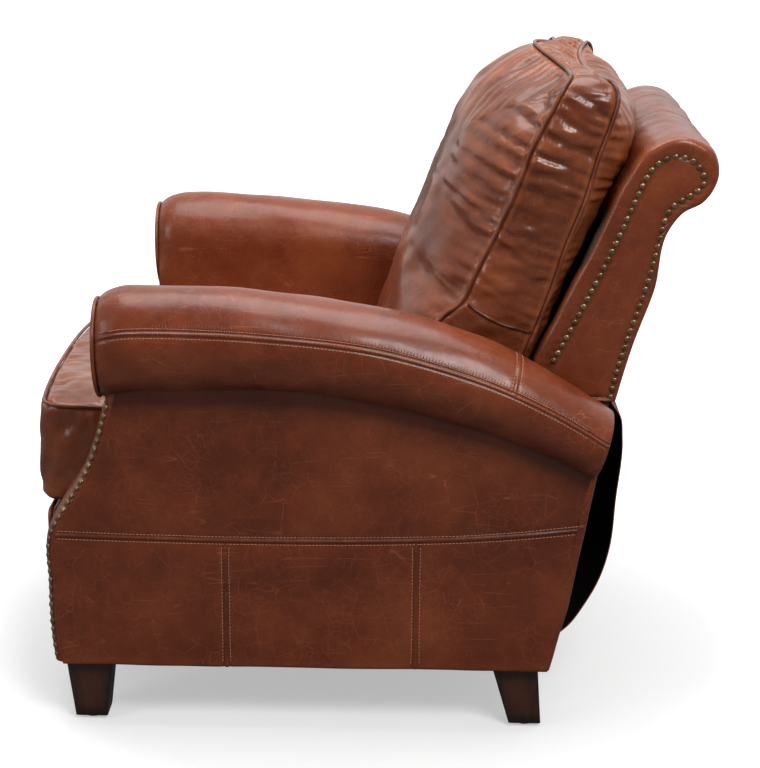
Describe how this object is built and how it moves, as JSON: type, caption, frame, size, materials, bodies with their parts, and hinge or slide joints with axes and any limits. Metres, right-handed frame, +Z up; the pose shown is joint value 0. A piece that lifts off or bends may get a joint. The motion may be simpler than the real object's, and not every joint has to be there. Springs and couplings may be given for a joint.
{
  "type": "push-back recliner armchair",
  "caption": "Leather push-back recliner armchair with rolled nail-trimmed arms, boxed seat and back cushions, scroll top, folding footrest and tapered wooden legs.",
  "frame": {"origin": "on the floor under the middle of the chair's bounding box", "axes": "+Z up, the chair faces -Y, +X is the seated person's left, millimetres in the source and metres here"},
  "size_m": [0.844, 1.0095, 0.986],
  "materials": {
    "cognac_leather": "aged pull-up leather, semi matt, waxed highlights",
    "leather_padding": "foam and fibre padding wrapped in the same cognac leather",
    "frame_wood": "plain kiln-dried hardwood and plywood",
    "dark_leg_wood": "dark espresso stain, edges burnished brown, satin",
    "antique_brass": "antique brass, darkened",
    "mechanism_steel": "black enamelled pressed steel",
    "zinc_steel": "zinc plated",
    "glide_plastic": "black nylon",
    "webbing": "woven elastic webbing",
    "deck_cloth": "dark woven platform cloth"
  },
  "bodies": {
    "base": {"left_arm_roll": "leather_padding", "right_arm_roll": "leather_padding", "left_side_cover": "leather_padding", "right_side_cover": "leather_padding", "left_side_frame": "frame_wood", "right_side_frame": "frame_wood", "left_inner_arm_pad": "leather_padding", "right_inner_arm_pad": "leather_padding", "left_arm_facing": "leather_padding", "right_arm_facing": "leather_padding", "left_front_leg": "dark_leg_wood", "right_front_leg": "dark_leg_wood", "left_rear_leg": "dark_leg_wood", "right_rear_leg": "dark_leg_wood", "facing_nails": "antique_brass", "corner_blocks": "frame_wood", "leg_glides": "glide_plastic", "leg_bolts": "zinc_steel", "base_front_rail": "frame_wood", "base_rear_rail": "frame_wood", "rear_flap": "cognac_leather", "base_plates": "mechanism_steel", "base_pivot_pins": "zinc_steel", "base_bolts": "zinc_steel"},
    "back": {"left_back_frame": "frame_wood", "right_back_frame": "frame_wood", "left_back_side_cover": "cognac_leather", "right_back_side_cover": "cognac_leather", "back_scroll": "leather_padding", "back_outside_panel": "cognac_leather", "back_top_rail": "frame_wood", "back_lower_rail": "frame_wood", "back_webbing": "webbing", "back_cushion": "leather_padding", "back_levers": "mechanism_steel", "back_lever_bolts": "zinc_steel", "back_nails": "antique_brass"},
    "swing_links": {"left_swing_link": "mechanism_steel", "right_swing_link": "mechanism_steel", "swing_rivets": "zinc_steel"},
    "seat": {"seat_plates": "mechanism_steel", "seat_pivot_pins": "zinc_steel", "seat_side_rails": "frame_wood", "seat_front_rail": "frame_wood", "seat_rear_rail": "frame_wood", "seat_webbing": "webbing", "seat_deck": "deck_cloth", "seat_cushion": "leather_padding"},
    "drive_links": {"drive_links": "mechanism_steel"},
    "rear_cranks": {"footrest_rear_cranks": "mechanism_steel", "rear_crank_rivets": "zinc_steel"},
    "front_cranks": {"footrest_front_cranks": "mechanism_steel", "front_crank_rivets": "zinc_steel"},
    "lift_links": {"footrest_lift_links": "mechanism_steel"},
    "tilt_links": {"footrest_tilt_links": "mechanism_steel"},
    "footrest": {"footrest_brackets": "mechanism_steel", "footrest_rivets": "zinc_steel", "footrest_board": "frame_wood", "footrest_pad": "leather_padding"}
  },
  "joints": [
    {"name": "back_recline", "type": "hinge", "parent": "base", "child": "back", "pos_m": [0, 0.19, 0.292], "axis": [-1, 0, 0], "range_deg": [0, 30], "deforming": ["rear_flap"]},
    {"name": "seat_swing", "type": "hinge", "parent": "base", "child": "swing_links", "pos_m": [0, -0.17872, 0.28762], "axis": [-1, 0, 0], "range_deg": [0, 30.01]},
    {"name": "seat_level", "type": "hinge", "parent": "swing_links", "child": "seat", "pos_m": [0, -0.17, 0.188], "axis": [-1, 0, 0], "range_deg": [-30.01, 0]},
    {"name": "drive_link_turn", "type": "hinge", "parent": "swing_links", "child": "drive_links", "pos_m": [0, -0.295, 0.1988], "axis": [-1, 0, 0], "range_deg": [-51.61, 0]},
    {"name": "rear_crank_turn", "type": "hinge", "parent": "seat", "child": "rear_cranks", "pos_m": [0, -0.35, 0.25], "axis": [-1, 0, 0], "range_deg": [0, 82.01]},
    {"name": "front_crank_turn", "type": "hinge", "parent": "seat", "child": "front_cranks", "pos_m": [0, -0.40369, 0.281], "axis": [-1, 0, 0], "range_deg": [0, 82.01]},
    {"name": "lift_link_turn", "type": "hinge", "parent": "front_cranks", "child": "lift_links", "pos_m": [0, -0.37916, 0.16558], "axis": [-1, 0, 0], "range_deg": [-82.01, 0]},
    {"name": "tilt_link_turn", "type": "hinge", "parent": "front_cranks", "child": "tilt_links", "pos_m": [0, -0.37776, 0.1256], "axis": [-1, 0, 0], "range_deg": [-82.01, 0]},
    {"name": "footrest_lift", "type": "hinge", "parent": "lift_links", "child": "footrest", "pos_m": [0, -0.44, 0.272], "axis": [-1, 0, 0], "range_deg": [0, 82.01]}
  ],
  "couplings": [
    {"joint": "seat_swing", "follows": "back_recline", "ratio": 1},
    {"joint": "seat_level", "follows": "back_recline", "ratio": -1},
    {"joint": "drive_link_turn", "follows": "back_recline", "ratio": -1.72},
    {"joint": "rear_crank_turn", "follows": "back_recline", "ratio": 2.7333},
    {"joint": "front_crank_turn", "follows": "back_recline", "ratio": 2.7333},
    {"joint": "lift_link_turn", "follows": "back_recline", "ratio": -2.7333},
    {"joint": "tilt_link_turn", "follows": "back_recline", "ratio": -2.7333},
    {"joint": "footrest_lift", "follows": "back_recline", "ratio": 2.7333}
  ]
}
